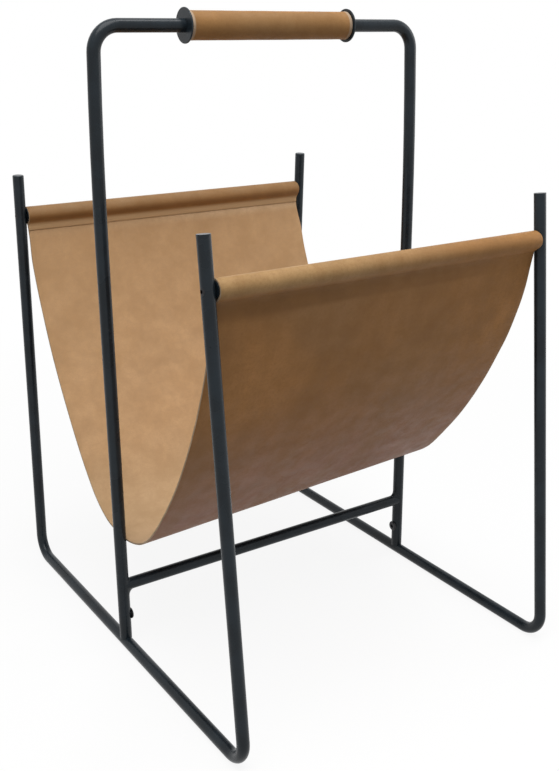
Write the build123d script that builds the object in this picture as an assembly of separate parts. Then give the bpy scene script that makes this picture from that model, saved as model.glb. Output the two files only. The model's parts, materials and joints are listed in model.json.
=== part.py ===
from build123d import *
import math
import os

# Magazine rack. X runs along the sling rods, Y runs back along the floor rails, Z is up.
# The origin is on the floor, below the middle of the hoop. Millimetres.

# Side frames: one bent steel rod each, with a floor rail and two uprights that lean in.
frame_spacing = 280.0  # between the centre planes of the two side frames
frame_rod_dia = 9.0
rail_depth = 366.0  # between the corners of the rod's centre line
tip_height = 357.5
front_lean = 35.0  # how far each front tip stands in from its corner
back_lean = 21.0
frame_bend_radius = 17.0  # on the rod's centre line
tip_round = 0.8

# Hoop: a bent steel tube whose legs stand on the rails, with a welded stretcher. The upper part
# of each leg bows gently inward before the bend.
hoop_tube_dia = 9.5
hoop_tube_wall = 1.0
hoop_height = 478.1  # floor to the top of the tube
hoop_bend_radius = 18.0  # on the tube's centre line
leg_bow_radius = 3500.0
leg_bow_angle = 2.2  # degrees
leg_saddle = 1.5  # how far each leg's end laps down over its rail
stretcher_height = 54.5
stretcher_dia = 9.5
stretcher_wall = 1.0

# Spigots welded on the rails inside the hoop's legs, and the screws that hold the legs on them.
spigot_clearance = 0.05  # all round, inside the leg's bore
spigot_above_screw = 10.0
hoop_screw_height = 28.0
hoop_screw_dia = 5.0
hoop_screw_hole_play = 0.2
hoop_screw_head_dia = 9.0
hoop_screw_head_height = 1.4
hoop_screw_head_round = 1.1
hoop_screw_end_wall = 1.5  # spigot metal left behind the screw's tip
hoop_screw_key = 3.0
hoop_screw_key_depth = 1.2

# Carrying grip: a leather cover on a wooden sleeve that turns on the hoop between two discs.
grip_dia = 20.4
grip_length = 139.0  # between the discs
grip_offset = 2.0  # the grip's middle lies this far to the right
grip_leather = 1.3
grip_bore_clearance = 0.05
grip_end_play = 0.3
disc_dia = 24.5
disc_thickness = 1.3
disc_edge_round = 0.4

# Sling rods: tubes inside the sling's hems, with a threaded plug in each end.
sling_rod_dia = 10.0
sling_rod_wall = 1.0
sling_rod_drop = 33.5  # from the uprights' tips down to the rods' centre lines
plug_flange_dia = 10.4  # goes inside the end of the hem
plug_flange_thickness = 1.2
plug_length = 14.0  # inside the tube

# Flush screws through the uprights into the plugs.
rod_screw_dia = 3.0
rod_screw_hole_play = 0.15
rod_screw_head_dia = 5.5
rod_screw_head_height = 2.4  # from the upright's outer line to the seat
rod_screw_head_play = 0.1
rod_screw_bite = 9.0  # length inside the plug
rod_screw_key = 2.5
rod_screw_key_depth = 1.5

# Sling: one leather sheet with a hem round each rod.
sling_leather = 1.6
sling_end_gap = 0.6  # between the leather and each upright
hem_clearance = 0.35  # all round the rod
hem_lap = 12.8  # from the rod's centre down to the lap's edge
sling_bottom_height = 100.0  # floor to the middle of the leather, at the lowest point
sling_bottom_radius = 76.0
sling_bottom_angle = 46.0  # each side of the lowest point, degrees

# ---- worked out from the sizes above ----
rail_z = frame_rod_dia / 2
sling_rod_height = tip_height - sling_rod_drop
side_x = frame_spacing / 2
hoop_z = hoop_height - hoop_tube_dia / 2
hoop_bore = hoop_tube_dia - 2 * hoop_tube_wall
grip_bore = hoop_tube_dia + 2 * grip_bore_clearance
core_dia = grip_dia - 2 * grip_leather
flange_x = side_x - frame_rod_dia / 2  # outer face of a plug's flange
rod_end_x = flange_x - plug_flange_thickness
plug_dia = sling_rod_dia - 2 * sling_rod_wall
sling_half_width = flange_x - sling_end_gap
hem_inner = sling_rod_dia / 2 + hem_clearance
hem_outer = hem_inner + sling_leather

left, right = -1, 1
front, back = -1, 1
lean = {front: front_lean, back: back_lean}
lean_slope = {end: lean[end] / (tip_height - rail_z) for end in (front, back)}
rod_y = {
    end: end * (rail_depth / 2 - lean_slope[end] * (sling_rod_height - rail_z))
    for end in (front, back)
}
sling_middle_y = (rod_y[front] + rod_y[back]) / 2
sling_half_span = (rod_y[back] - rod_y[front]) / 2


def round_bar(radius, start_x, end_x, y=0.0, z=0.0):
    """A round bar along X between start_x and end_x."""
    middle = (start_x + end_x) / 2
    return Pos(middle, y, z) * Rot(0, 90, 0) * Cylinder(radius, abs(end_x - start_x))


def swept_rod(path, radius):
    """A round rod of the given radius along a path."""
    return sweep(Plane(path @ 0, z_dir=path % 0) * Circle(radius), path)


def hex_socket(across_flats, depth, mouth_x, side, y, z):
    """A hexagonal key socket that opens towards -side along X at mouth_x."""
    hexagon = RegularPolygon(across_flats / 2, 6, major_radius=False)
    return Plane((mouth_x, y, z), z_dir=(side, 0, 0)) * extrude(hexagon, depth)


def side_frame(side):
    """One rod: up the front, along the floor and up the back, with its screw holes."""
    x = side * side_x
    half = rail_depth / 2
    path = FilletPolyline(
        (x, front_lean - half, tip_height),
        (x, -half, rail_z),
        (x, half, rail_z),
        (x, half - back_lean, tip_height),
        radius=frame_bend_radius,
    )
    rod = swept_rod(path, frame_rod_dia / 2)
    tips = rod.edges().filter_by(GeomType.CIRCLE).group_by(Axis.Z)[-1]
    rod = fillet(tips, min(tip_round, frame_rod_dia / 4))
    hole = rod_screw_dia / 2 + rod_screw_hole_play
    recess = rod_screw_head_dia / 2 + rod_screw_head_play
    recess_x = side * (side_x + frame_rod_dia / 2 - rod_screw_head_height)
    for end in (front, back):
        y = rod_y[end]
        rod -= round_bar(hole, x - side_x / 2, x + side_x / 2, y, sling_rod_height)
        rod -= round_bar(recess, recess_x, recess_x + side * frame_rod_dia, y, sling_rod_height)
    return rod


def upright_bar(end, side):
    """An upright's straight bar round its screw, as a tool for what lies flush with it."""
    tilt = end * math.degrees(math.atan(lean_slope[end]))
    bar = Cylinder(frame_rod_dia / 2, 4 * rod_screw_head_dia)
    return Pos(side * side_x, rod_y[end], sling_rod_height) * Rot(tilt, 0, 0) * bar


def rail_bar(side):
    """The straight floor rail of a side frame, as a tool for coping what stands on it."""
    bar = Cylinder(frame_rod_dia / 2, rail_depth)
    return Pos(side * side_x, 0, rail_z) * Rot(90, 0, 0) * bar


def hoop_path():
    """The centre line of the hoop's tube, from the right rail over the top to the left rail."""
    foot = frame_rod_dia - leg_saddle
    bow_turn = math.sin(math.radians(leg_bow_angle))
    bow_top = hoop_z - hoop_bend_radius * (1 - bow_turn)
    leg = Line((side_x, foot), (side_x, bow_top - leg_bow_radius * bow_turn))
    bow = JernArc(leg @ 1, leg % 1, leg_bow_radius, leg_bow_angle)
    bend = JernArc(bow @ 1, bow % 1, hoop_bend_radius, 90 - leg_bow_angle)
    half = [leg, bow, bend]
    top = Line(bend @ 1, (-(bend @ 1).X, hoop_z))
    mirrored = [mirror(edge, about=Plane.YZ) for edge in half]
    edges = [edge for line in [*half, top, *mirrored] for edge in line.edges()]
    return Plane.XZ * Wire(edges)


def hoop():
    """The bent tube, coped over the rails, with a screw hole in the inner wall of each leg."""
    path = hoop_path()
    tube = swept_rod(path, hoop_tube_dia / 2) - swept_rod(path, hoop_bore / 2)
    hole = (hoop_screw_dia + hoop_screw_hole_play) / 2
    for side in (left, right):
        tube -= rail_bar(side)
        inner_face = side * (side_x - hoop_tube_dia)
        tube -= round_bar(hole, side * side_x, inner_face, 0, hoop_screw_height)
    return tube


def stretcher():
    """The cross tube, with its ends coped to fit round the hoop's legs."""
    outer = round_bar(stretcher_dia / 2, -side_x, side_x, 0, stretcher_height)
    bore = round_bar(stretcher_dia / 2 - stretcher_wall, -side_x, side_x, 0, stretcher_height)
    tube = outer - bore
    for side in (left, right):
        leg = Cylinder(hoop_tube_dia / 2, 4 * stretcher_dia)
        tube -= Pos(side * side_x, 0, stretcher_height) * leg
    return tube


def hoop_screw_tip_x(side):
    """Where the screw's tip stops inside the spigot."""
    spigot_radius = hoop_bore / 2 - spigot_clearance
    return side * (side_x + spigot_radius - hoop_screw_end_wall)


def spigot(side):
    """The pin that stands on the rail inside the leg, drilled for the hoop's screw."""
    top = hoop_screw_height + spigot_above_screw
    height = top - rail_z
    pin = Pos(side * side_x, 0, rail_z + height / 2) * Cylinder(
        hoop_bore / 2 - spigot_clearance, height
    )
    pin -= rail_bar(side)
    mouth = side * (side_x - hoop_tube_dia)
    hole = round_bar(hoop_screw_dia / 2, hoop_screw_tip_x(side), mouth, 0, hoop_screw_height)
    return pin - hole


def hoop_screw(side):
    """A screw with a domed head and a key socket, on the inner side of the leg."""
    seat = side * (side_x - hoop_tube_dia / 2)
    shank = round_bar(hoop_screw_dia / 2, hoop_screw_tip_x(side), seat, 0, hoop_screw_height)
    crown = seat - side * hoop_screw_head_height
    head = round_bar(hoop_screw_head_dia / 2, seat, crown, 0, hoop_screw_height)
    rim = head.edges().filter_by(GeomType.CIRCLE).sort_by(Axis.X)
    outer_rim = rim[0] if side == right else rim[-1]
    head = fillet(outer_rim, hoop_screw_head_round)
    key = hex_socket(
        hoop_screw_key, hoop_screw_key_depth, crown, side, 0, hoop_screw_height
    )
    return head + shank - key


def grip_sleeve(outer_dia, bore_dia):
    """A sleeve on the hoop's straight top, between the discs."""
    half = grip_length / 2 - grip_end_play
    start, end = grip_offset - half, grip_offset + half
    return round_bar(outer_dia / 2, start, end, 0, hoop_z) - round_bar(
        bore_dia / 2, start, end, 0, hoop_z
    )


def grip_disc(side):
    """A thin disc fixed on the tube, at one end of the grip."""
    inner = grip_offset + side * grip_length / 2
    outer = inner + side * disc_thickness
    disc = round_bar(disc_dia / 2, inner, outer, 0, hoop_z)
    edge = min(disc_edge_round, 0.4 * disc_thickness)
    disc = fillet(disc.edges().filter_by(GeomType.CIRCLE), edge)
    return disc - round_bar(hoop_tube_dia / 2, inner, outer, 0, hoop_z)


def sling_rod(end):
    """The tube inside one hem."""
    y = rod_y[end]
    outer = round_bar(sling_rod_dia / 2, -rod_end_x, rod_end_x, y, sling_rod_height)
    return outer - round_bar(plug_dia / 2, -rod_end_x, rod_end_x, y, sling_rod_height)


def rod_plug(end, side):
    """The threaded plug in a sling rod's end, with a flange against the upright."""
    y = rod_y[end]
    flange_outer = side * flange_x
    flange_inner = side * rod_end_x
    tail = side * (rod_end_x - plug_length)
    plug = round_bar(plug_flange_dia / 2, flange_outer, flange_inner, y, sling_rod_height)
    plug += round_bar(plug_dia / 2, flange_inner, tail, y, sling_rod_height)
    return plug - round_bar(rod_screw_dia / 2, flange_outer, tail, y, sling_rod_height)


def rod_screw(end, side):
    """A screw from the outer side of the upright into the plug, dressed flush with the upright."""
    y = rod_y[end]
    crown = side * (side_x + frame_rod_dia / 2)
    seat = crown - side * rod_screw_head_height
    tip = side * (flange_x - rod_screw_bite)
    screw = round_bar(rod_screw_head_dia / 2, crown, seat, y, sling_rod_height)
    screw &= upright_bar(end, side)
    screw += round_bar(rod_screw_dia / 2, seat, tip, y, sling_rod_height)
    key = hex_socket(
        rod_screw_key, rod_screw_key_depth, crown, -side, y, sling_rod_height
    )
    return screw - key


def sling():
    """The hanging sheet: a tight bottom arc, two long side arcs and a lapped hem at each rod."""
    turn = math.radians(sling_bottom_angle)
    start = Vector(0, sling_bottom_height)
    break_point = start + sling_bottom_radius * Vector(math.sin(turn), 1 - math.cos(turn))
    direction = Vector(math.cos(turn), math.sin(turn))
    hem_middle = (hem_inner + hem_outer) / 2
    hem_point = Vector(sling_half_span, sling_rod_height - hem_middle)
    side_arc = TangentArc(break_point, hem_point, tangent=direction)
    centre = side_arc.arc_center
    end_angle = math.degrees(
        math.atan2(hem_point.Y - centre.Y, hem_point.X - centre.X)
    )
    sheet_below_hem = hem_lap - hem_middle
    lap_angle = math.degrees(sheet_below_hem / side_arc.radius)
    lap_arc = CenterArc(
        centre, side_arc.radius - sling_leather, end_angle - lap_angle, lap_angle
    )
    bottom_arc = CenterArc(
        start + Vector(0, sling_bottom_radius), sling_bottom_radius, 270, sling_bottom_angle
    )
    half = trace(bottom_arc, sling_leather)
    half += trace(side_arc, sling_leather)
    half += trace(lap_arc, sling_leather)
    half += Pos(sling_half_span, sling_rod_height) * Circle(hem_outer)
    half -= Pos(sling_half_span, sling_rod_height) * Circle(hem_inner)
    profile = half + mirror(half, about=Plane.YZ)
    sheet = extrude(Plane.YZ * profile, sling_half_width, both=True)
    return Pos(0, sling_middle_y, 0) * sheet


parts = {
    "side_frame_left": side_frame(left),
    "side_frame_right": side_frame(right),
    "hoop": hoop(),
    "stretcher": stretcher(),
    "spigot_left": spigot(left),
    "spigot_right": spigot(right),
    "hoop_screw_left": hoop_screw(left),
    "hoop_screw_right": hoop_screw(right),
    "grip_core": grip_sleeve(core_dia, grip_bore),
    "grip_leather": grip_sleeve(grip_dia, core_dia),
    "grip_disc_left": grip_disc(left),
    "grip_disc_right": grip_disc(right),
    "sling": sling(),
    "sling_rod_front": sling_rod(front),
    "sling_rod_back": sling_rod(back),
}
for end, end_name in ((front, "front"), (back, "back")):
    for side, side_name in ((left, "left"), (right, "right")):
        parts[f"rod_plug_{end_name}_{side_name}"] = rod_plug(end, side)
        parts[f"rod_screw_{end_name}_{side_name}"] = rod_screw(end, side)

os.makedirs("parts", exist_ok=True)
for name, part in parts.items():
    export_step(part, f"parts/{name}.step")
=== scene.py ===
"""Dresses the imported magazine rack: leather sling and grip, painted steel, and a plain stage."""

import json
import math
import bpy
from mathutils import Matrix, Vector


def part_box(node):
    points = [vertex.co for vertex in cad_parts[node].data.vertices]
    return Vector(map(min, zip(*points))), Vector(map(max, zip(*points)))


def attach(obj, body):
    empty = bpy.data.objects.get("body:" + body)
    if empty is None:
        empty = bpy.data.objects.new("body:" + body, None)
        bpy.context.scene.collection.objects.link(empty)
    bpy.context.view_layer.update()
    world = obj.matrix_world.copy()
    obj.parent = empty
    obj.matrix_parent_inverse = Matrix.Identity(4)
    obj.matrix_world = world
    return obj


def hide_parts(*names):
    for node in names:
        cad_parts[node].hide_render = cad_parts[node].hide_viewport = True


bl_info = {
    "name": "Magazine Rack",
    "version": (1, 0, 0),
    "blender": (4, 5, 0),
    "location": "3D View > Sidebar > Rack",
    "description": "Leather, paint and welds for a steel magazine rack, with a plain stage",
    "category": "Object",
}

import bmesh
import bpy
from bpy.props import FloatProperty, FloatVectorProperty, PointerProperty
from mathutils import Matrix, Vector, noise

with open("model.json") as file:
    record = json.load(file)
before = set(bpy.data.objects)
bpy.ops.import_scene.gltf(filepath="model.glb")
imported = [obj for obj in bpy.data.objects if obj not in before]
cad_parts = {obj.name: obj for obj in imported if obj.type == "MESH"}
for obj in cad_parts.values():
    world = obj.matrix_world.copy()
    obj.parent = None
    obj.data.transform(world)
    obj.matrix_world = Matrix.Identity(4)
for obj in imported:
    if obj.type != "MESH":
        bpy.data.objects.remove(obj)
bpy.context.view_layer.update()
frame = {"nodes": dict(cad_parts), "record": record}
MM = 0.001


# ---- sizes that come with the frame ----


def middle(node):
    """The centre of a CAD node's box."""
    low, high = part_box(node)
    return (low + high) / 2


def height_of(node):
    """The height of a CAD node's box, which is the diameter of a bar that lies level."""
    low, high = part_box(node)
    return high.z - low.z


SLING_LOW, SLING_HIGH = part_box("sling")
ROD_RADIUS = height_of("sling_rod_back") / 2
ROD_FRONT = middle("sling_rod_front")
ROD_BACK = middle("sling_rod_back")
SLING_MIDDLE_Y = (ROD_FRONT.y + ROD_BACK.y) / 2
HALF_SPAN = (ROD_BACK.y - ROD_FRONT.y) / 2
ROD_Z = ROD_BACK.z
HOOP_LEG_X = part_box("stretcher")[1].x
STRETCHER_Z = middle("stretcher").z
STRETCHER_RADIUS = height_of("stretcher") / 2
GRIP_LOW, GRIP_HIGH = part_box("grip_leather")
GRIP_CENTRE = middle("grip_leather")


# ---- places on the sling's sheet, measured along it from its nearer end ----


HEM_RUN = 45 * MM  # from a lap's edge, up round the rod and back down to the seam
ROLL_ZONE = (9 * MM, 42 * MM)  # what shows as the roll over a rod
ROLL_SOFT = 9 * MM  # how softly the roll's tone ends
# painted shade lies in the crease between the lap and the roll
CREASE_ZONE = (6.5 * MM, 15 * MM)  # the crease between the lap and the roll
CREASE_SOFT = 3.5 * MM


# ---- settings ----


def colour(name, what, default):
    """A setting for the colour of something."""
    return FloatVectorProperty(
        name=name,
        description=f"Colour of {what}",
        default=default,
        size=3,
        min=0.0,
        max=1.0,
        subtype="COLOR",
    )


def length(name, description, default):
    """A length setting, in metres."""
    return FloatProperty(name=name, description=description, default=default, unit="LENGTH")


def turn(name, description, default):
    """An angle setting, in radians."""
    return FloatProperty(name=name, description=description, default=default, unit="ROTATION")


def fraction(name, description, default, largest):
    """A setting from nothing up to a largest share."""
    return FloatProperty(name=name, description=description, default=default, min=0.0, max=largest)


def power(name, description, default):
    """A lamp's power setting, in watts."""
    return FloatProperty(name=name, description=description, default=default, unit="POWER")


class SlingSettings(bpy.types.PropertyGroup):
    """The hanging leather sheet."""

    leather: length("Leather", "Thickness of the leather", 1.6 * MM)
    hem_clearance: length("Hem clearance", "Play between rod and hem", 0.35 * MM)
    seam_drop: length("Seam drop", "From the rod's centre down to the hem's seam", 8.2 * MM)
    lap_drop: length("Lap drop", "From the rod's centre down to the lap's edge", 12.8 * MM)
    bottom_radius: length("Bottom radius", "Radius of the fold at the bottom", 76 * MM)
    bottom_angle: turn("Bottom angle", "Half of the bottom fold's turn", math.radians(46))
    slant: fraction(
        "Slant", "How much deeper the left end hangs, and shallower the right", 0.032, largest=0.1
    )
    left_flare: length("Left flare", "How far the left edge stands out", 1.1 * MM)
    right_inset: length("Right inset", "How far the right edge stands in", 1.3 * MM)
    wave: length("Wave", "Height of the leather's soft waves", 0.9 * MM)
    edge_wander: length("Edge wander", "How far the hand-cut right edge strays", 0.7 * MM)
    skive: fraction(
        "Skive", "How much of the leather is pared off at the lap's edge", 0.5, largest=0.8
    )
    grain: colour("Grain side", "the smooth outer side", (0.374, 0.187, 0.070))
    # painted sheen: a greyer colour low on the outer side stands in for the floor's reflection
    low_sheen: colour("Grain low down", "the outer side low down", (0.37, 0.198, 0.148))
    # painted highlight on the rolls over the rods: a greyer sheen on the back roll, paler on the
    # front roll
    back_roll: colour("Back roll", "the leather over the back rod", (0.285, 0.19, 0.105))
    front_roll: colour("Front roll", "the leather over the front rod", (0.5, 0.33, 0.155))
    # painted light on the laps, where the roll's overhang shades them
    lap: colour("Lap", "the pared lap below each rod's roll", (0.55, 0.35, 0.185))
    flesh: colour("Flesh side", "the napped inner side", (0.55, 0.341, 0.18))
    edge: colour("Cut edge", "the raw edge", (0.56, 0.41, 0.27))


class GripSettings(bpy.types.PropertyGroup):
    """The leather cover of the carrying grip."""

    leather: length("Leather", "Thickness of the leather", 1.3 * MM)
    seam_gap: length("Seam gap", "Width of the butt seam on the underside", 0.5 * MM)
    seam_turn: turn("Seam turn", "How far the seam lies back from straight below", math.radians(30))
    stitch_pitch: length("Stitch pitch", "From one cross stitch to the next", 5.5 * MM)
    thread: length("Thread", "Diameter of the sewing thread", 0.7 * MM)
    colour: colour("Leather colour", "the grip's leather", (0.355, 0.185, 0.068))
    # a paler band at each end of the grip's leather
    contrasting: colour("Pale ends", "the leather's rubbed ends", (0.442, 0.326, 0.2252))
    thread_colour: colour("Thread colour", "the thread", (0.30, 0.17, 0.085))


class SteelSettings(bpy.types.PropertyGroup):
    """The painted steel and its welds."""

    paint: colour("Paint", "the powder coat", (0.0125, 0.0185, 0.0240))
    screw: colour("Screws", "the blackened screws", (0.02, 0.02, 0.022))
    wood: colour("Core wood", "the grip's turned core", (0.42, 0.26, 0.13))
    weld_size: length("Light weld", "Leg of the weld fillet on its lighter side", 2.2 * MM)
    weld_heavy: length("Heavy weld", "Leg of the weld fillet on its heavier side", 4.8 * MM)


class StageSettings(bpy.types.PropertyGroup):
    """The floor, the lamps and the camera."""

    azimuth: turn("Azimuth", "Camera's turn about the rack", math.radians(-34.1422))
    elevation: turn("Elevation", "Camera's height above level", math.radians(18.5144))
    roll: turn("Roll", "Camera's tilt", math.radians(-0.07))
    lens: FloatProperty(
        name="Lens",
        description="Focal length for a sensor 36 mm along its longer side",
        default=48.005,
        unit="CAMERA",
    )
    camera_at: FloatVectorProperty(
        name="Camera place",
        description="Where the camera stands",
        default=(-0.42871, -0.670763, 0.470315),
        size=3,
        unit="LENGTH",
    )
    shift: FloatVectorProperty(
        name="Shift",
        description="How far the view is framed off the lens's axis",
        default=(-0.02243, -0.01475),
        size=2,
    )
    floor: colour("Floor", "the floor and backdrop", (1.0, 1.0, 1.0))
    sky_level: FloatProperty(
        name="Sky level", description="Strength of the light from all round", default=0.24
    )
    overhead_power: power("Overhead lamp", "Power of the large lamp overhead", 24.5)
    small_power: power("Small lamp", "Power of the small lamp overhead, on the right", 4.0)
    side_power: power("Side lamp", "Power of the lamp on the right", 5.0)


class RackSettings(bpy.types.PropertyGroup):
    """All of the rack's settings."""

    sling: PointerProperty(type=SlingSettings)
    grip: PointerProperty(type=GripSettings)
    steel: PointerProperty(type=SteelSettings)
    stage: PointerProperty(type=StageSettings)


# ---- materials ----


class Finish:
    """A material with short calls to add nodes to it."""

    def __init__(self, name, roughness, specular=0.5):
        self.material = bpy.data.materials.new(name)
        self.material.use_nodes = True
        self.tree = self.material.node_tree
        self.shader = self.tree.nodes["Principled BSDF"]
        self.shader.inputs["Roughness"].default_value = roughness
        self.shader.inputs["Specular IOR Level"].default_value = specular

    def put(self, socket, value):
        """Sets a socket to a value, or links it to another node's output."""
        if isinstance(value, bpy.types.NodeSocket):
            self.tree.links.new(value, socket)
        elif socket.type == "RGBA":
            socket.default_value = (*value, 1.0)
        else:
            socket.default_value = value

    def node(self, kind, inputs, output=0, **settings):
        """Adds a node and gives one of its outputs."""
        made = self.tree.nodes.new("ShaderNode" + kind)
        for name, value in settings.items():
            setattr(made, name, value)
        for name, value in inputs.items():
            self.put(made.inputs[name], value)
        return made.outputs[output]

    def place(self, on_sheet):
        """The flat cut's own coordinates, or the object's, in metres."""
        return self.node("TexCoord", {}, "UV" if on_sheet else "Object")

    def stretched(self, place, scale):
        """Coordinates scaled along each axis: a larger scale makes a pattern finer along it."""
        return self.node("Mapping", {"Vector": place, "Scale": scale})

    def clouds(self, place, per_metre, detail, roughness, distortion=0.0):
        """Soft noise with that many features to the metre."""
        values = {"Vector": place, "Scale": per_metre, "Detail": detail}
        values |= {"Roughness": roughness, "Distortion": distortion}
        return self.node("TexNoise", values, "Fac")

    def cells(self, place, per_metre, feature):
        """Cell noise with that many cells to the metre."""
        values = {"Vector": place, "Scale": per_metre}
        return self.node("TexVoronoi", values, "Distance", feature=feature)

    def part(self, place, axis):
        """One coordinate of a place."""
        return self.node("SeparateXYZ", {"Vector": place}, axis)

    def span(self, value, low, high, to_low, to_high):
        """A value carried from one range to another, with soft ends."""
        values = {"Value": value, "From Min": low, "From Max": high}
        values |= {"To Min": to_low, "To Max": to_high}
        return self.node("MapRange", values, interpolation_type="SMOOTHSTEP")

    def blend(self, factor, first, second, blend_type="MIX"):
        """Two colours mixed."""
        made = self.tree.nodes.new("ShaderNodeMix")
        made.data_type = "RGBA"
        made.blend_type = blend_type
        self.put(made.inputs[0], factor)
        self.put(made.inputs[6], first)
        self.put(made.inputs[7], second)
        return made.outputs[2]

    def spread(self, value, low, high, under, over, shares=(0.0, 1.0)):
        """One colour over another, by a share that follows a value from a low to a high one."""
        return self.blend(self.span(value, low, high, *shares), under, over)

    def maths(self, operation, first, second):
        """Two numbers joined by an operation."""
        made = self.tree.nodes.new("ShaderNodeMath")
        made.operation = operation
        self.put(made.inputs[0], first)
        self.put(made.inputs[1], second)
        return made.outputs[0]

    def times(self, first, second):
        """Two numbers multiplied."""
        return self.maths("MULTIPLY", first, second)

    def away(self, value, centre):
        """How far a number lies from another, either way."""
        return self.maths("ABSOLUTE", self.maths("SUBTRACT", value, centre), 0.0)

    def within(self, value, low, high, soft):
        """One between two limits and nothing outside them, with soft ends."""
        rise = self.span(value, low, low + soft, 0.0, 1.0)
        fall = self.span(value, high - soft, high, 1.0, 0.0)
        return self.times(rise, fall)

    def near(self, place, centre, stretch, reach):
        """One at a spot and nothing beyond its reach; stretch narrows the spot along each axis."""
        drawn = self.stretched(place, stretch)
        spot = tuple(at * by for at, by in zip(centre, stretch))
        away = self.node("VectorMath", {0: drawn, 1: spot}, "Value", operation="DISTANCE")
        return self.span(away, reach * 0.2, reach, 1.0, 0.0)

    def pale_end_bands(self, place, under, axis, ends, pale):
        """A pale band at the two ends of a strap, along one of its coordinates; on the sling's laps
        it is painted light.
        """
        low, high, band = ends
        along = self.part(place, axis)
        first = self.span(along, low + band * 0.6, low + band, 1.0, 0.0)
        last = self.span(along, high - band, high - band * 0.6, 0.0, 1.0)
        return self.blend(self.maths("MAXIMUM", first, last), under, pale)

    def mottled(self, place, under, per_metre, tint, pale):
        """Small soft patches: some dark by a tint, and the rest lighter by a factor."""
        patches = self.clouds(place, per_metre, 3.0, 0.6)
        raised = self.blend(1.0, under, (pale, pale, pale), "MULTIPLY")
        return self.blend(self.span(patches, 0.3, 0.7, 0.0, 1.0), raised, tint, "MULTIPLY")

    def bump(self, height, distance, strength, under=None):
        """A bump of that depth in metres, over another if one is given."""
        values = {"Height": height, "Distance": distance, "Strength": strength}
        if under is not None:
            values["Normal"] = under
        return self.node("Bump", values)

    def wear(self, **sockets):
        """Gives the shader its sockets, by their names with spaces as underscores."""
        for name, value in sockets.items():
            self.put(self.shader.inputs[name.replace("_", " ")], value)
        return self.material


def tinted(base, factors):
    """A colour with its red, green and blue each times a factor."""
    return tuple(min(1.0, part * factor) for part, factor in zip(base, factors))


def shade(base, factor):
    """A colour made lighter or darker."""
    return tinted(base, (factor, factor, factor))


def warm(base, factor):
    """A colour with more red, and less blue."""
    return (min(1.0, base[0] * factor), base[1], base[2] / factor**2)


def hem_tones(finish, place, toned, patches, total, settings):
    """The sheet's colour: painted highlight on the rolls over the rods, painted shade by the seams,
    painted sheen in the middle.
    """
    base = settings.grain
    half = total / 2
    along = finish.part(place, "Y")
    across = finish.part(place, "X")
    from_middle = finish.away(along, half)
    from_end = finish.maths("SUBTRACT", half, from_middle)
    # painted sheen of the floor's reflection, greyer towards the middle of the sheet
    toned = finish.spread(from_end, half - 220 * MM, half - 60 * MM, toned, settings.low_sheen)

    # painted highlight over each rod: a greyer painted sheen on the back roll, a paler painted
    # highlight on the front roll
    roll_start, roll_end = ROLL_ZONE
    on_back_roll = finish.within(along, roll_start, roll_end, ROLL_SOFT)
    toned = finish.blend(finish.times(on_back_roll, 0.7), toned, settings.back_roll)
    front_zone = (total - roll_end, total - roll_start)
    on_front_roll = finish.within(along, *front_zone, ROLL_SOFT)
    # the front roll's painted highlight is strongest at its left
    painted_light = finish.span(across, -120 * MM, 80 * MM, 0.8, 0.2)
    toned = finish.blend(finish.times(on_front_roll, painted_light), toned, settings.front_roll)

    # painted shade in the crease between the lap and the roll, deepest at the left
    in_crease = finish.within(from_end, *CREASE_ZONE, CREASE_SOFT)
    deep = finish.span(across, -130 * MM, 20 * MM, 1.0, 0.5)
    toned = finish.blend(finish.times(in_crease, deep), toned, warm(shade(base, 0.66), 1.07))
    # painted shadow of the roll on the sheet just below each seam, in patches
    below_seam = finish.within(from_end, HEM_RUN - 5 * MM, HEM_RUN + 14 * MM, 4 * MM)
    uneven = finish.span(patches, 0.38, 0.6, 0.3, 0.8)
    toned = finish.blend(finish.times(below_seam, uneven), toned, shade(base, 0.66))

    # painted light: lighter golden patches on the front of the sheet, below its roll
    left_at = (-104 * MM, total - 108 * MM, 0.0)
    right_at = (118 * MM, total - 80 * MM, 0.0)
    left_spot = finish.near(place, left_at, stretch=(1.0, 1.0, 1.0), reach=58 * MM)
    right_spot = finish.near(place, right_at, stretch=(1.0, 0.6, 1.0), reach=45 * MM)
    lit_patches = finish.times(finish.maths("MAXIMUM", left_spot, right_spot), 0.8)
    toned = finish.blend(lit_patches, toned, warm(shade(base, 1.34), 1.03))
    # painted shadow: a long dark patch under the left of the front roll
    roll_shadow_at = (-100 * MM, total - HEM_RUN - 4 * MM, 0.0)
    contrasting = finish.near(place, roll_shadow_at, stretch=(1.0, 5.0, 1.0), reach=75 * MM)
    return finish.blend(finish.times(contrasting, 0.8), toned, warm(shade(base, 0.58), 1.05))


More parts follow.
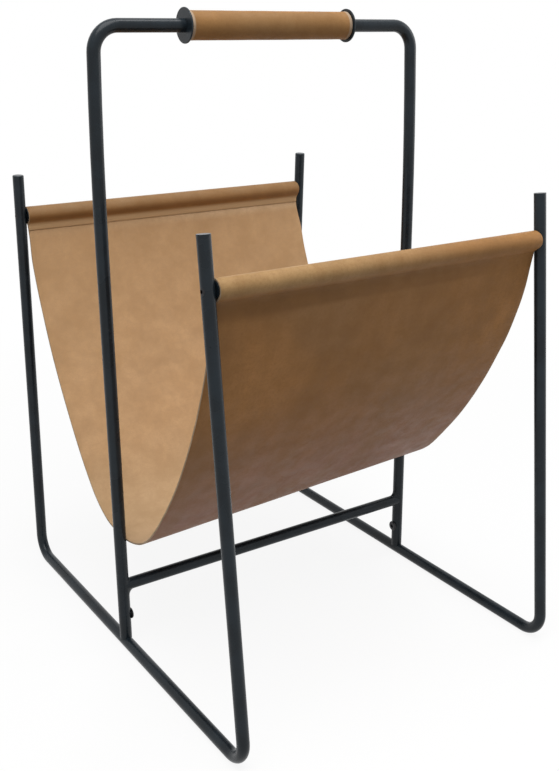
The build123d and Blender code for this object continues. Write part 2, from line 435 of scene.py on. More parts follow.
def grain_leather(name, base, pale_ends, hems=None):
    """Smooth, pebbled and cloudy leather; hems are a hemmed sheet's length and settings."""
    finish = Finish(name, 0.4, 0.1)
    place = finish.place(True)
    dye = finish.clouds(place, 22.0, 3.0, 0.55)
    tone = finish.clouds(place, 6.0, 2.0, 0.5)
    streaks = finish.clouds(finish.stretched(place, (34.0, 7.0, 20.0)), 1.0, 4.0, 0.6)
    specks = finish.clouds(place, 420.0, 3.0, 0.6)
    creases = finish.cells(place, 1250.0, "DISTANCE_TO_EDGE")
    toned = finish.spread(tone, 0.36, 0.64, warm(base, 1.06), warm(base, 0.92))
    if hems is not None:
        toned = hem_tones(finish, place, toned, tone, *hems)
    cloudy = finish.spread(dye, 0.3, 0.7, toned, shade(base, 0.72), (0.3, 0.0))
    cloudy = finish.mottled(place, cloudy, per_metre=48.0, tint=(0.84, 0.83, 0.81), pale=1.08)
    streaky = finish.spread(streaks, 0.35, 0.7, cloudy, shade(base, 0.76), (0.0, 0.5))
    speckled = finish.spread(specks, 0.4, 0.75, streaky, shade(base, 0.7), (0.0, 0.3))
    creased = finish.spread(creases, 0.0, 0.12, speckled, shade(base, 0.55), (0.22, 0.0))
    creased = finish.pale_end_bands(place, creased, *pale_ends)
    pebble = finish.span(creases, 0.0, 0.25, 0.0, 1.0)
    coarse = finish.bump(pebble, 0.05 * MM, 0.5)
    pores = finish.bump(finish.clouds(place, 2600.0, 2.0, 0.5), 0.04 * MM, 0.4, coarse)
    swells = finish.bump(finish.clouds(place, 38.0, 2.0, 0.4), 1.0 * MM, 0.22, pores)
    shine = finish.span(finish.clouds(place, 90.0, 3.0, 0.6), 0.3, 0.7, 0.42, 0.58)
    return finish.wear(Base_Color=creased, Roughness=shine, Normal=swells)


def flesh_leather(name, base, total):
    """The sheet's napped side: matt and blotchy, with short fibres, a painted highlight under its
    lap and painted shade near the rods.
    """
    finish = Finish(name, 0.85, 0.12)
    place = finish.place(True)
    blotches = finish.clouds(place, 26.0, 4.0, 0.6, 0.4)
    spots = finish.cells(place, 31.0, "SMOOTH_F1")
    fibres = finish.clouds(finish.stretched(place, (1.0, 0.55, 1.0)), 1500.0, 3.0, 0.7)
    nap = finish.clouds(place, 260.0, 4.0, 0.65)
    blotched = finish.spread(blotches, 0.3, 0.68, shade(base, 0.88), shade(base, 1.06))
    spot = warm(shade(base, 0.88), 1.05)
    spotted = finish.spread(spots, 0.05, 0.55, blotched, spot, (0.3, 0.0))
    along = finish.part(place, "Y")
    across = finish.part(place, "X")
    from_middle = finish.away(along, total / 2)
    low_down = tinted(base, (0.93, 1.04, 1.15))
    toned = finish.spread(from_middle, 20 * MM, 120 * MM, spotted, low_down, (0.8, 0.0))
    # painted shade: the inner side darker towards the rods, where less light falls
    painted_light = warm(shade(base, 0.8), 1.06)
    toned = finish.spread(from_middle, 120 * MM, 250 * MM, toned, painted_light, (0.0, 0.5))
    # painted highlight: a pale strip just below the back lap, towards the right
    below_lap = finish.span(along, HEM_RUN + 5 * MM, HEM_RUN + 13 * MM, 1.0, 0.0)
    below_lap_highlight = finish.times(below_lap, finish.span(across, -130 * MM, 100 * MM, 0.2, 0.9))
    toned = finish.blend(below_lap_highlight, toned, tinted(base, (1.20, 1.32, 1.5)))
    toned = finish.mottled(place, toned, per_metre=50.0, tint=(0.87, 0.85, 0.81), pale=1.07)
    napped = finish.spread(nap, 0.35, 0.7, toned, shade(base, 0.8), (0.0, 0.3))
    fibrous = finish.spread(fibres, 0.35, 0.7, napped, shade(base, 0.72), (0.0, 0.3))
    coarse = finish.bump(nap, 0.2 * MM, 0.4)
    fine = finish.bump(fibres, 0.1 * MM, 0.6, coarse)
    return finish.wear(Base_Color=fibrous, Normal=fine, Sheen_Weight=0.15, Sheen_Roughness=0.5)


def cut_leather(name, base):
    """The raw edge of the leather, with its layers of fibre."""
    finish = Finish(name, 0.8, 0.25)
    place = finish.place(False)
    fibres = finish.clouds(place, 900.0, 4.0, 0.7)
    stain = finish.clouds(place, 60.0, 2.0, 0.5)
    stained = finish.spread(stain, 0.35, 0.65, shade(base, 0.8), shade(base, 1.15))
    fibrous = finish.spread(fibres, 0.35, 0.7, stained, shade(base, 0.55), (0.0, 0.6))
    return finish.wear(Base_Color=fibrous, Normal=finish.bump(fibres, 0.2 * MM, 0.6))


def powder_coat(name, base):
    """Satin black powder coat with its fine orange peel and a little dust."""
    finish = Finish(name, 0.34, 0.22)
    place = finish.place(False)
    peel = finish.clouds(place, 700.0, 2.0, 0.4)
    grit = finish.clouds(place, 3200.0, 2.0, 0.6)
    patches = finish.clouds(place, 45.0, 3.0, 0.55)
    tint = finish.spread(patches, 0.3, 0.7, shade(base, 0.8), shade(base, 1.35))
    dusted = finish.spread(grit, 0.62, 0.8, tint, shade(base, 3.0), (0.0, 0.35))
    skin = finish.bump(peel, 0.05 * MM, 0.5)
    rough = finish.bump(grit, 0.015 * MM, 0.35, skin)
    shine = finish.span(patches, 0.3, 0.7, 0.24, 0.32)
    return finish.wear(Base_Color=dusted, Roughness=shine, Normal=rough)


def blackened_steel(name, base):
    """A chemically blackened screw, a little worn."""
    finish = Finish(name, 0.38)
    place = finish.place(False)
    turned = finish.clouds(finish.stretched(place, (1.0, 4.0, 4.0)), 700.0, 3.0, 0.6)
    worn = finish.clouds(place, 500.0, 3.0, 0.6)
    tint = finish.spread(worn, 0.5, 0.75, base, shade(base, 3.2), (0.0, 0.6))
    return finish.wear(
        Base_Color=tint,
        Metallic=0.55,
        Roughness=finish.span(turned, 0.3, 0.7, 0.3, 0.48),
        Normal=finish.bump(turned, 0.03 * MM, 0.4),
    )


def turned_wood(name, base):
    """Plain turned wood, with its grain along the core."""
    finish = Finish(name, 0.65, 0.3)
    place = finish.place(False)
    fibre = finish.clouds(finish.stretched(place, (8.0, 260.0, 260.0)), 1.0, 4.0, 0.6)
    rings = finish.clouds(finish.stretched(place, (3.0, 70.0, 70.0)), 1.0, 2.0, 0.5, 1.2)
    tint = finish.spread(rings, 0.35, 0.65, shade(base, 0.75), shade(base, 1.15))
    grain = finish.spread(fibre, 0.4, 0.7, tint, shade(base, 0.55), (0.0, 0.5))
    return finish.wear(Base_Color=grain, Normal=finish.bump(fibre, 0.1 * MM, 0.4))


def sewing_thread(name, base):
    """Waxed thread, with its twist."""
    finish = Finish(name, 0.55, 0.4)
    twist = finish.clouds(finish.place(False), 2500.0, 2.0, 0.5)
    tint = finish.spread(twist, 0.3, 0.7, shade(base, 0.7), shade(base, 1.2))
    return finish.wear(Base_Color=tint, Normal=finish.bump(twist, 0.1 * MM, 0.6))


# ---- mesh helpers ----


def new_object(name, mesh, materials):
    """Makes an object from a bmesh."""
    data = bpy.data.meshes.new(name)
    mesh.normal_update()
    mesh.to_mesh(data)
    mesh.free()
    for material in materials:
        data.materials.append(material)
    made = bpy.data.objects.new(name, data)
    bpy.context.scene.collection.objects.link(made)
    return made


def new_piece(name, mesh, materials, body):
    """Makes a smooth object that rides on a body."""
    piece = new_object(name, mesh, materials)
    piece.data.shade_smooth()
    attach(piece, body)
    return piece


def thicken(piece, thickness, inner, rim, rounding, segments):
    """Gives a sheet thickness and rounded edges; inner and rim are materials' numbers."""
    skin = piece.modifiers.new("thickness", "SOLIDIFY")
    skin.thickness = thickness
    skin.offset = 0.0
    skin.use_even_offset = True
    skin.material_offset = inner
    skin.material_offset_rim = rim
    edge = piece.modifiers.new("edge_round", "BEVEL")
    edge.width = rounding
    edge.segments = segments
    edge.limit_method = "ANGLE"
    edge.angle_limit = math.radians(60)
    return skin


def vertices_in(made):
    """The vertices among what an operator made."""
    return [item for item in made if isinstance(item, bmesh.types.BMVert)]


def move(mesh, vertices, x=0.0, y=0.0, z=0.0):
    """Moves vertices along each axis."""
    bmesh.ops.translate(mesh, verts=vertices, vec=(x, y, z))


def turn_about(mesh, vertices, angle, axis):
    """Turns vertices about an axis through the origin."""
    turned = Matrix.Rotation(angle, 3, axis)
    bmesh.ops.rotate(mesh, verts=vertices, cent=(0.0, 0.0, 0.0), matrix=turned)


def face_outward(mesh):
    """Makes all faces agree, so that the lowest one looks down."""
    bmesh.ops.recalc_face_normals(mesh, faces=mesh.faces[:])
    mesh.normal_update()
    lowest = min(mesh.faces, key=lambda face: face.calc_center_median().z)
    if lowest.normal.z > 0:
        bmesh.ops.reverse_faces(mesh, faces=mesh.faces[:])
        mesh.normal_update()


def sweep(mesh, items, angle, steps, centre=(0.0, 0.0)):
    """Sweeps items round a centre in the YZ plane. A positive angle turns Y towards Z."""
    return bmesh.ops.spin(
        mesh,
        geom=items,
        cent=(0.0, *centre),
        axis=(1.0, 0.0, 0.0),
        angle=angle,
        steps=steps,
    )


class BentLine:
    """A line of edges in the YZ plane, bent up one straight run or arc at a time."""

    def __init__(self, mesh, start):
        self.mesh = mesh
        self.tip = mesh.verts.new((0.0, *start))

    def run(self, end, steps):
        """A straight run to a point, in even steps."""
        stride = (Vector((0.0, *end)) - self.tip.co) / steps
        for _ in range(steps):
            made = bmesh.ops.extrude_vert_indiv(self.mesh, verts=[self.tip])
            made["verts"][0].co = self.tip.co + stride
            self.tip = made["verts"][0]

    def bend(self, centre, angle, steps):
        """An arc about a centre."""
        made = sweep(self.mesh, [self.tip], angle, steps, centre)
        self.tip = vertices_in(made["geom_last"])[0]


def soft_step(value, low, high):
    """Rises smoothly from 0 at low to 1 at high."""
    share = min(1.0, max(0.0, (value - low) / (high - low)))
    return share * share * (3.0 - 2.0 * share)


def drift(x, y, z):
    """Smooth random drift between about -1 and 1, with features about 1 across."""
    return noise.noise(Vector((x, y, z)))


def angle_of(point, centre):
    """The direction from a centre to a point, in the YZ plane."""
    away = point - centre
    return math.atan2(away.y, away.x)


def side_arc_centre(start, heading, end):
    """The centre of the arc that leaves a point on a heading and reaches another point."""
    across = Vector((-heading.y, heading.x))
    chord = end - start
    return start + across * chord.length_squared / (2.0 * chord.dot(across))


# ---- the sling ----


def tangent_angle(point, centre, radius, side):
    """Where a line from a point touches a circle, on its right (-1) or left (+1) side."""
    reach = math.acos(radius / (point - centre).length)
    return angle_of(point, centre) + side * reach


def on_circle(centre, radius, angle):
    """A point on a circle."""
    return centre + radius * Vector((math.cos(angle), math.sin(angle)))


HANG_TRIES = 4  # the hang's direction and the side's arc follow from each other
SEAM_PLAY = 0.06 * MM  # between the two layers at the seam


def half_sling_line(mesh, settings):
    """Bends the back half of the sling's line, from its lap over the rod to the bottom."""
    rod = Vector((HALF_SPAN, ROD_Z))
    wrap = ROD_RADIUS + settings.hem_clearance + settings.leather / 2
    bottom = Vector((0.0, SLING_LOW.z + settings.leather / 2))
    fold_centre = bottom + Vector((0.0, settings.bottom_radius))
    fold_end = on_circle(fold_centre, settings.bottom_radius, settings.bottom_angle - math.pi / 2)
    heading = Vector((math.cos(settings.bottom_angle), math.sin(settings.bottom_angle)))
    hang = (rod - fold_end).normalized()
    for _ in range(HANG_TRIES):
        side_centre = side_arc_centre(fold_end, heading, rod - settings.seam_drop * hang)
        radial = (rod - side_centre).normalized()
        hang = Vector((-radial.y, radial.x))
    outward = Vector((hang.y, -hang.x))
    half_pair = settings.leather / 2 + SEAM_PLAY / 2
    seam = rod - settings.seam_drop * hang
    outer_seam = seam + half_pair * outward
    inner_seam = seam - half_pair * outward
    lap_edge = rod - settings.lap_drop * hang - half_pair * outward
    side_centre = side_arc_centre(fold_end, heading, outer_seam)
    outer_touch = tangent_angle(outer_seam, rod, wrap, 1)
    inner_touch = tangent_angle(inner_seam, rod, wrap, -1)
    line = BentLine(mesh, lap_edge)
    line.run(inner_seam, steps=3)
    line.run(on_circle(rod, wrap, inner_touch), steps=4)
    over = (inner_touch - outer_touch) % math.tau
    line.bend(rod, -over, steps=34)
    line.run(outer_seam, steps=4)
    down = angle_of(fold_end, side_centre) - angle_of(outer_seam, side_centre)
    line.bend(side_centre, down, steps=44)
    line.bend(fold_centre, -settings.bottom_angle, steps=14)


def number_along(mesh):
    """Stores how far each vertex lies along the line, and gives the line's length."""
    along = mesh.verts.layers.float.new("along")
    ends = [vertex for vertex in mesh.verts if len(vertex.link_edges) == 1]
    here = max(ends, key=lambda vertex: vertex.co.y)
    seen = {here}
    distance = 0.0
    here[along] = 0.0
    while True:
        ahead = [edge.other_vert(here) for edge in here.link_edges]
        ahead = [vertex for vertex in ahead if vertex not in seen]
        if not ahead:
            return along, distance
        distance += (ahead[0].co - here.co).length
        here = ahead[0]
        here[along] = distance
        seen.add(here)


PALE_LAP = 8 * MM  # the band of painted light along a lap's edge
LAP_STANDS_OUT = 0.4 * MM  # how far the lap's left end stands out past the sheet
ROLL_STANDS_OUT = 0.2 * MM  # how far the roll's right end stands out in its middle
ROLL_DISH = 0.9 * MM  # and how much further at its rim
LAP_SOFT = 4 * MM  # how softly the lap's standing out ends
BY_LEG = (12 * MM, 34 * MM)  # from the hoop's leg, where the left flare starts and is full
BY_SIDE = (0.72, 1.0)  # shares of the half width, where an edge's shift starts and is full
FREE_BELOW = (0.03, 0.14)  # shares of the depth under a seam, where the sheet comes free
FREE_PAST = 15 * MM  # and how far past its hem
SLANT_IN = 0.05  # share of the depth over which the slant sets in
PARED = 0.8  # share of the lap's width that is pared
STRAYS = 34.0  # wanders of the hand-cut edge to the metre
WAVES = (11.0, 7.0)  # waves to the metre, across the sheet and along it
CURLS = (4.0, 16.0)  # the same for the curls near its side edges
CURL_SHARE = 1.3  # a curl's height as a share of a wave's


def edge_shift(vertex, along, sheet, on_lap, on_roll, settings):
    """How far a vertex by a side edge stands out past the plain cut."""
    if vertex.co.x < 0:
        return sheet * settings.left_flare + on_lap * LAP_STANDS_OUT
    if on_roll:
        from_rod = abs(abs(vertex.co.y) - HALF_SPAN) / (ROD_RADIUS + settings.leather)
        return ROLL_STANDS_OUT + ROLL_DISH * min(1.0, from_rod) ** 2
    stray = drift(3.0, vertex[along] * STRAYS, 1.0)
    return sheet * (stray * settings.edge_wander - settings.right_inset)


def shape_sling(mesh, along, total, settings):
    """Hangs the sheet a little askew, trims its sides, pares its laps and gives it soft waves."""
    depth = ROD_Z - SLING_LOW.z
    lap = settings.lap_drop - settings.seam_drop
    skin = mesh.verts.layers.deform.verify()
    for vertex in mesh.verts:
        across = vertex.co.x / SLING_HIGH.x
        from_end = min(vertex[along], total - vertex[along])
        below_seam = max(0.0, ROD_Z - settings.seam_drop - vertex.co.z)
        drop = below_seam / depth
        sheet = soft_step(drop, *FREE_BELOW) * soft_step(from_end, HEM_RUN, HEM_RUN + FREE_PAST)
        clear_of_leg = soft_step(abs(vertex.co.y + SLING_MIDDLE_Y), *BY_LEG)
        trimmed = sheet * clear_of_leg if across < 0 else sheet
        on_lap = 1.0 - soft_step(from_end, lap, lap + LAP_SOFT)
        shift = edge_shift(vertex, along, trimmed, on_lap, below_seam == 0.0, settings)
        by_side = soft_step(abs(across), *BY_SIDE)
        wave = drift(vertex.co.x * WAVES[0], vertex[along] * WAVES[1], 4.0)
        curl = drift(vertex.co.x * CURLS[0], vertex[along] * CURLS[1], 9.0)
        vertex.co.x += math.copysign(shift * by_side, across)
        slant = settings.slant * soft_step(drop, 0.0, SLANT_IN)
        vertex.co.z += slant * across * below_seam
        lift = sheet * settings.wave * (wave + CURL_SHARE * by_side * curl)
        pared = settings.skive * (1.0 - soft_step(from_end, 0.0, lap * PARED))
        vertex[skin][0] = 1.0 - pared
        vertex.co += vertex.normal * (lift - pared * settings.leather / 2)


class RACK_OT_sling(bpy.types.Operator):
    """Makes the leather sling: one sheet, hemmed round both rods, with raw edges"""

    bl_idname = "rack.sling"
    bl_label = "Leather Sling"

    def execute(self, context):
        settings = context.scene.rack.sling
        width = SLING_HIGH.x - SLING_LOW.x
        mesh = bmesh.new()
        along, total = self.hang_sheet(mesh, width, settings)
        shape_sling(mesh, along, total, settings)
        move(mesh, mesh.verts, y=SLING_MIDDLE_Y)
        # pale bands of painted light along the laps
        laps = ("Y", (0.0, total, PALE_LAP), settings.lap)
        materials = [
            grain_leather("sling_grain_side", settings.grain, laps, hems=(total, settings)),
            flesh_leather("sling_flesh_side", settings.flesh, total),
            cut_leather("sling_cut_edge", settings.edge),
        ]
        piece = new_piece("leather_sling", mesh, materials, "rack")
        skin = thicken(piece, settings.leather, inner=1, rim=2, rounding=0.35 * MM, segments=2)
        skin.vertex_group = piece.vertex_groups.new(name="skin").name
        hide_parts("sling")
        return {"FINISHED"}

    def hang_sheet(self, mesh, width, settings):
        """Draws the plain sheet from its line, with its flat cut, and gives its length too."""
        half_sling_line(mesh, settings)
        bmesh.ops.mirror(
            mesh,
            geom=mesh.verts[:] + mesh.edges[:],
            matrix=Matrix.Identity(4),
            merge_dist=0.01 * MM,
            axis="Y",
        )
        along, total = number_along(mesh)
        move(mesh, mesh.verts, x=SLING_LOW.x)
        made = bmesh.ops.extrude_edge_only(mesh, edges=mesh.edges[:])
        move(mesh, vertices_in(made["geom"]), x=width)
        long_edges = [edge for edge in mesh.edges if edge.calc_length() > width / 2]
        bmesh.ops.subdivide_edges(mesh, edges=long_edges, cuts=59, use_grid_fill=True)
        cut = mesh.loops.layers.uv.new("flat_cut")
        for face in mesh.faces:
            for loop in face.loops:
                loop[cut].uv = (loop.vert.co.x, loop.vert[along])
        face_outward(mesh)
        return along, total


# ---- the grip ----


COVER_PLAY = 0.1 * MM  # by which the cover is thinner, to clear its core
PALE_END = 3.2 * MM  # the pale band at each end
SEAM_TUCK = 0.35 * MM  # how deep the leather is drawn in at its seam
TUCK_FADES = (0.2 * MM, 2.2 * MM)  # from the seam
END_FLARE = 0.3 * MM  # how far its two ends stand out
FLARE_REACH = 5 * MM  # from each end
LUMPS = 0.08 * MM  # height of its soft lumps, which also lie that much under the full round
LUMPS_EACH_WAY = (45.0, 120.0)  # lumps to the metre, along the grip and across it
FREE_END = 5 * MM  # without stitches, at each end
STITCH_REACH = 2.6 * MM  # from the seam to a stitch's hole
STITCH_SINK = 0.10 * MM  # how deep a stitch is drawn into the leather
CROSSING = 0.12 * MM  # how much deeper the lower one of two crossing threads lies


class RACK_OT_grip(bpy.types.Operator):
    """Makes the grip's leather cover, with a stitched seam on its underside"""

    bl_idname = "rack.grip"
    bl_label = "Grip Cover"

    def execute(self, context):
        settings = context.scene.rack.grip
        outer = (GRIP_HIGH.z - GRIP_LOW.z) / 2
        skin_middle = outer - settings.leather / 2
        mesh = bmesh.new()
        self.roll_cover(mesh, skin_middle, settings.seam_gap / skin_middle)
        for vertex in mesh.verts:
            self.soften(vertex, skin_middle)
        self.lay_flat(mesh, skin_middle)
        self.place_on_hoop(mesh, settings)
        ends = ("X", (GRIP_LOW.x, GRIP_HIGH.x, PALE_END), settings.contrasting)
        materials = [
            grain_leather("grip_grain_side", settings.colour, ends),
            cut_leather("grip_cut_edge", shade(settings.colour, 0.6)),
        ]
        piece = new_piece("grip_cover", mesh, materials, "grip")
        thickness = settings.leather - COVER_PLAY
        thicken(piece, thickness, inner=0, rim=1, rounding=0.4 * MM, segments=3)
        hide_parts("grip_leather")
        self.stitch(settings, outer)
        return {"FINISHED"}

    def roll_cover(self, mesh, skin_middle, open_angle):
        """Spins a line of edges round X into the cover, and leaves its seam open at the bottom."""
        start = mesh.verts.new((GRIP_LOW.x, 0.0, -skin_middle))
        made = bmesh.ops.extrude_vert_indiv(mesh, verts=[start])
        made["verts"][0].co.x = GRIP_HIGH.x
        bmesh.ops.subdivide_edges(mesh, edges=made["edges"], cuts=46)
        turn_about(mesh, mesh.verts, open_angle / 2, "X")
        sweep(mesh, mesh.verts[:] + mesh.edges[:], math.tau - open_angle, steps=72)
        face_outward(mesh)

    def soften(self, vertex, skin_middle):
        """Draws the leather in at its seam, flares its ends and gives it soft lumps."""
        x, y, z = vertex.co
        from_seam = abs(math.atan2(y, -z)) * skin_middle
        tuck = SEAM_TUCK * (1.0 - soft_step(from_seam, *TUCK_FADES))
        from_end = min(x - GRIP_LOW.x, GRIP_HIGH.x - x)
        flare = END_FLARE * (1.0 - soft_step(from_end, 0.0, FLARE_REACH))
        along, across = LUMPS_EACH_WAY
        lump = LUMPS * drift(x * along, y * across, z * across)
        radial = Vector((0.0, y, z)).normalized()
        vertex.co += radial * (lump + flare - tuck - LUMPS)

    def lay_flat(self, mesh, skin_middle):
        """Gives the cover the coordinates of its flat cut: along the grip, and round it."""
        cut = mesh.loops.layers.uv.new("flat_cut")
        for face in mesh.faces:
            centre = face.calc_center_median()
            about = math.atan2(centre.y, -centre.z)
            for loop in face.loops:
                here = math.atan2(loop.vert.co.y, -loop.vert.co.z)
                here += math.tau * round((about - here) / math.tau)
                loop[cut].uv = (loop.vert.co.x, here * skin_middle)

    def place_on_hoop(self, mesh, settings):
        """Turns the seam back from straight below, and lifts what lies round X to the hoop."""
        turn_about(mesh, mesh.verts, settings.seam_turn, "X")
        move(mesh, mesh.verts, y=GRIP_CENTRE.y, z=GRIP_CENTRE.z)

    def stitch(self, settings, outer):
        """Sews cross stitches over the seam."""
        mesh = bmesh.new()
        span = GRIP_HIGH.x - GRIP_LOW.x - 2 * FREE_END
        count = int(span / settings.stitch_pitch)
        for place in range(count):
            x = GRIP_CENTRE.x + (place - (count - 1) / 2) * settings.stitch_pitch
            for side in (-1, 1):
                self.lay_thread(mesh, settings, outer, x, side)
        self.place_on_hoop(mesh, settings)
        bmesh.ops.recalc_face_normals(mesh, faces=mesh.faces[:])
        finish = sewing_thread("thread", settings.thread_colour)
        thread = new_piece("grip_stitches", mesh, [finish], "grip")

    def lay_thread(self, mesh, settings, outer, x, side):
        """Lays one thread of a cross stitch over the seam, slanting to one side or the other."""
        made = bmesh.ops.create_uvsphere(
            mesh, u_segments=8, v_segments=7, radius=settings.thread / 2
        )
        slant = math.atan2(side * settings.stitch_pitch, 2 * STITCH_REACH)
        stretch = math.hypot(settings.stitch_pitch, 2 * STITCH_REACH) / settings.thread
        bmesh.ops.scale(mesh, verts=made["verts"], vec=(1.0, stretch, 1.0))
        turn_about(mesh, made["verts"], slant, "Z")
        for vertex in made["verts"]:
            about = vertex.co.y / outer
            radius = outer - STITCH_SINK - vertex.co.z - CROSSING * (1 - side) / 2
            vertex.co.y = radius * math.sin(about)
            vertex.co.z = -radius * math.cos(about)
        move(mesh, made["verts"], x=x)


# ---- steel, wood and welds ----


class RACK_OT_steel(bpy.types.Operator):
    """Finishes the frame's own parts: painted steel, blackened screws and the turned core"""

    bl_idname = "rack.steel"
    bl_label = "Steel and Core"

    def execute(self, context):
        settings = context.scene.rack.steel
        finishes = {
            "black_steel": powder_coat("powder_coat", settings.paint),
            "screw_steel": blackened_steel("blackened_screw", settings.screw),
            "core_wood": turned_wood("core_wood", settings.wood),
        }
        for part in frame["record"]["subparts"]:
            finish = finishes.get(part["material_slot"])
            if finish is not None:
                data = frame["nodes"][part["node"]].data
                data.materials.clear()
                data.materials.append(finish)
        return {"FINISHED"}


FILLET_SHARE = 0.7  # of a bead's outline is its hollow face, and the rest lies inside the steel
BEAD_SKIN = 0.04 * MM  # how far the hollow face's edges stand off the steel
BEAD_ROOT = 0.4 * MM  # how deep the bead's back lies in the steel
RIPPLES = 23  # round one bead
RIPPLE = 0.04  # a ripple's height as a share of the bead's leg


class RACK_OT_welds(bpy.types.Operator):
    """Lays a weld fillet where each end of the stretcher meets the hoop's leg"""

    bl_idname = "rack.welds"
    bl_label = "Weld Fillets"

    def execute(self, context):
        settings = context.scene.rack.steel
        finish = powder_coat("weld_coat", settings.paint)
        for name, side in (("left", -1), ("right", 1)):
            mesh = bmesh.new()
            bmesh.ops.create_circle(mesh, segments=20, radius=1.0 * MM)
            move(mesh, mesh.verts, y=STRETCHER_RADIUS)
            sweep(mesh, mesh.verts[:] + mesh.edges[:], math.tau, steps=96)
            bmesh.ops.remove_doubles(mesh, verts=mesh.verts, dist=0.001 * MM)
            for vertex in mesh.verts:
                vertex.co = self.on_fillet(vertex.co, side, settings)
            move(mesh, mesh.verts, z=STRETCHER_Z)
            bmesh.ops.recalc_face_normals(mesh, faces=mesh.faces[:])
            bead = new_piece(f"stretcher_weld_{name}", mesh, [finish], "rack")
        return {"FINISHED"}

    def on_fillet(self, point, side, settings):
        """Carries a point of a plain ring to the hollow fillet between stretcher and leg."""
        about = math.atan2(point.z, point.y)
        out = math.hypot(point.y, point.z) - STRETCHER_RADIUS
        share = (math.atan2(point.x, -out) % math.tau) / math.tau
        heavy = soft_step(side * math.sin(about), -1.0, 1.0)
        leg = settings.weld_size + heavy * (settings.weld_heavy - settings.weld_size)
        ripple = 1.0 + RIPPLE * math.sin(RIPPLES * about)
        leg *= ripple * abs(math.sin(about)) ** 3
        swing = min(1.0, share / FILLET_SHARE) * math.pi / 2
        radial = STRETCHER_RADIUS + leg * (1.0 - math.cos(swing)) + BEAD_SKIN
        back_off = leg * (1.0 - math.sin(swing)) + BEAD_SKIN
        if share > FILLET_SHARE:
            radial = STRETCHER_RADIUS - BEAD_ROOT
            back_off = -BEAD_ROOT
        y = radial * math.cos(about)
        z = radial * math.sin(about)
        leg_surface = HOOP_LEG_X - math.sqrt(max(0.0, STRETCHER_RADIUS**2 - y * y))
        return Vector((side * (leg_surface - back_off), y, z))


# ---- the stage ----


LAMPS_FACE = Vector((0.0, 0.0, 0.2))  # the middle of the rack


def area_lamp(name, place, size, watts):
    """A square lamp that faces the middle of the rack."""
    lamp = bpy.data.lights.new(name, "AREA")
    lamp.shape = "SQUARE"
    lamp.size = size
    lamp.energy = watts
    holder = bpy.data.objects.new(name, lamp)
    holder.location = place
    aim = LAMPS_FACE - Vector(place)
    holder.rotation_euler = aim.to_track_quat("-Z", "Y").to_euler()
    bpy.context.scene.collection.objects.link(holder)


FLOOR_RADIUS = 12.0
SHADOW_FADES = (0.35, 1.0)  # metres from the rack's middle, where the floor's shadow fades away
LIT_SHARE = 0.1  # how much of the near floor takes light and shadow; the rest is white
BOUNCE = 0.48  # share of its light that the floor throws back


def background_rays(tree):
    """One for rays that show the background, straight or in a gloss, and zero for others."""
    rays = tree.nodes.new("ShaderNodeLightPath")
    shown = rays.outputs["Is Camera Ray"]
    for kind in ("Is Glossy Ray", "Is Transmission Ray"):
        either = tree.nodes.new("ShaderNodeMath")
        either.operation = "MAXIMUM"
        tree.links.new(shown, either.inputs[0])
        tree.links.new(rays.outputs[kind], either.inputs[1])
        shown = either.outputs[0]
    return shown


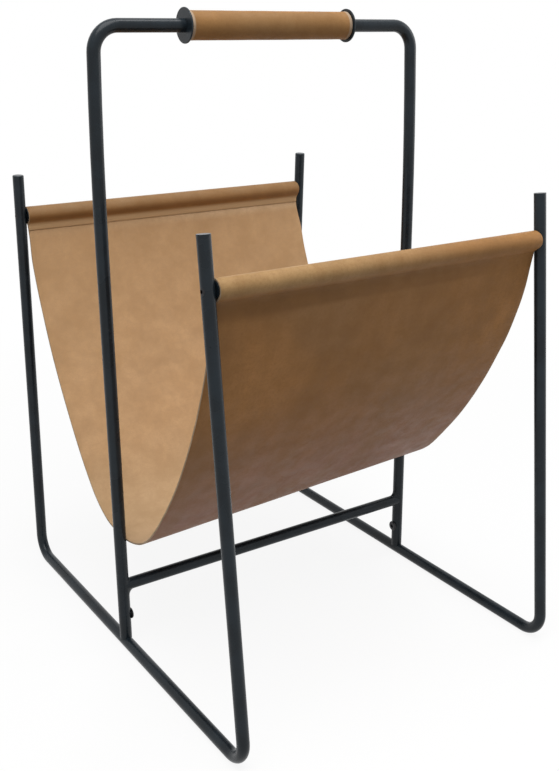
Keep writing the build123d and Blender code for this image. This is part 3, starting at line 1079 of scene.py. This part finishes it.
class RACK_OT_stage(bpy.types.Operator):
    """Sets up the pale floor, the soft lamps, the plain sky and the camera"""

    bl_idname = "rack.stage"
    bl_label = "Stage"

    def execute(self, context):
        settings = context.scene.rack.stage
        context.scene.view_settings.view_transform = "Standard"
        self.add_floor(settings)
        self.add_sky(context, settings)
        for name, place, size, watts in (
            ("overhead_lamp", (-0.25, -0.45, 1.75), 1.3, settings.overhead_power),
            ("small_lamp", (0.62, -0.1, 1.75), 0.5, settings.small_power),
            ("side_lamp", (1.6, -0.5, 0.7), 1.0, settings.side_power),
        ):
            area_lamp(name, place, size, watts)
        self.add_camera(context, settings)
        return {"FINISHED"}

    def add_floor(self, settings):
        """A wide floor that shows as plain white, and takes a faint shadow near the rack."""
        finish = Finish("floor", 1.0, 0.0)
        tree = finish.tree
        place = finish.place(False)
        distance = finish.node("VectorMath", {0: place}, "Value", operation="LENGTH")
        far = finish.span(distance, *SHADOW_FADES, 0.0, 1.0)
        white = finish.node("Emission", {"Color": settings.floor, "Strength": 1.0})
        plain = finish.node("BsdfDiffuse", {"Color": settings.floor})
        bounce = finish.node("BsdfDiffuse", {"Color": shade(settings.floor, BOUNCE)})
        shadow = finish.node("MixShader", {0: 1.0 - LIT_SHARE, 1: plain, 2: white})
        seen = finish.node("MixShader", {0: far, 1: shadow, 2: white})
        lit = finish.node("MixShader", {0: background_rays(tree), 1: bounce, 2: seen})
        tree.links.new(lit, tree.nodes["Material Output"].inputs["Surface"])
        mesh = bmesh.new()
        bmesh.ops.create_circle(mesh, cap_ends=True, segments=64, radius=FLOOR_RADIUS)
        floor = new_object("floor", mesh, [finish.material])

    def add_sky(self, context, settings):
        """A white sky to see and to shine in the steel, and a dimmer one that lights the rack."""
        world = bpy.data.worlds.new("sky")
        world.use_nodes = True
        context.scene.world = world
        tree = world.node_tree
        white = tree.nodes["Background"]
        light = tree.nodes.new("ShaderNodeBackground")
        for shader, strength in ((white, 1.0), (light, settings.sky_level)):
            shader.inputs["Color"].default_value = (*settings.floor, 1.0)
            shader.inputs["Strength"].default_value = strength
        mix = tree.nodes.new("ShaderNodeMixShader")
        tree.links.new(background_rays(tree), mix.inputs[0])
        tree.links.new(light.outputs[0], mix.inputs[1])
        tree.links.new(white.outputs[0], mix.inputs[2])
        tree.links.new(mix.outputs[0], tree.nodes["World Output"].inputs["Surface"])

    def add_camera(self, context, settings):
        """A camera that looks down on the rack from its front left."""
        view = bpy.data.cameras.new("camera")
        view.lens = settings.lens
        view.shift_x, view.shift_y = settings.shift
        view.clip_start = 0.01
        camera = bpy.data.objects.new("camera", view)
        facing = (
            Matrix.Rotation(settings.azimuth, 4, "Z")
            @ Matrix.Rotation(math.pi / 2 - settings.elevation, 4, "X")
            @ Matrix.Rotation(settings.roll, 4, "Z")
        )
        camera.matrix_world = Matrix.Translation(Vector(settings.camera_at)) @ facing
        context.scene.collection.objects.link(camera)
        context.scene.camera = camera


# ---- the panel and the run ----


class RACK_PT_panel(bpy.types.Panel):
    """Lists the steps that dress the rack"""

    bl_idname = "RACK_PT_panel"
    bl_label = "Magazine Rack"
    bl_space_type = "VIEW_3D"
    bl_region_type = "UI"
    bl_category = "Rack"

    def draw(self, context):
        settings = context.scene.rack
        for group in (settings.sling, settings.grip, settings.steel, settings.stage):
            box = self.layout.box()
            for name in group.__annotations__:
                box.prop(group, name)
        for step in STEPS:
            self.layout.operator(step.bl_idname)


STEPS = (RACK_OT_sling, RACK_OT_grip, RACK_OT_steel, RACK_OT_welds, RACK_OT_stage)
GROUPS = (SlingSettings, GripSettings, SteelSettings, StageSettings, RackSettings)
CLASSES = (*GROUPS, *STEPS, RACK_PT_panel)


def register():
    """Registers the classes and hangs the settings on the scene."""
    for each in CLASSES:
        bpy.utils.register_class(each)
    bpy.types.Scene.rack = PointerProperty(type=RackSettings)


def unregister():
    """Takes away what register added."""
    del bpy.types.Scene.rack
    for each in reversed(CLASSES):
        bpy.utils.unregister_class(each)


def main():
    """Dresses the rack and sets the stage."""
    register()
    bpy.ops.rack.sling()
    bpy.ops.rack.grip()
    bpy.ops.rack.steel()
    bpy.ops.rack.welds()
    bpy.ops.rack.stage()


if __name__ == "__main__":
    main()
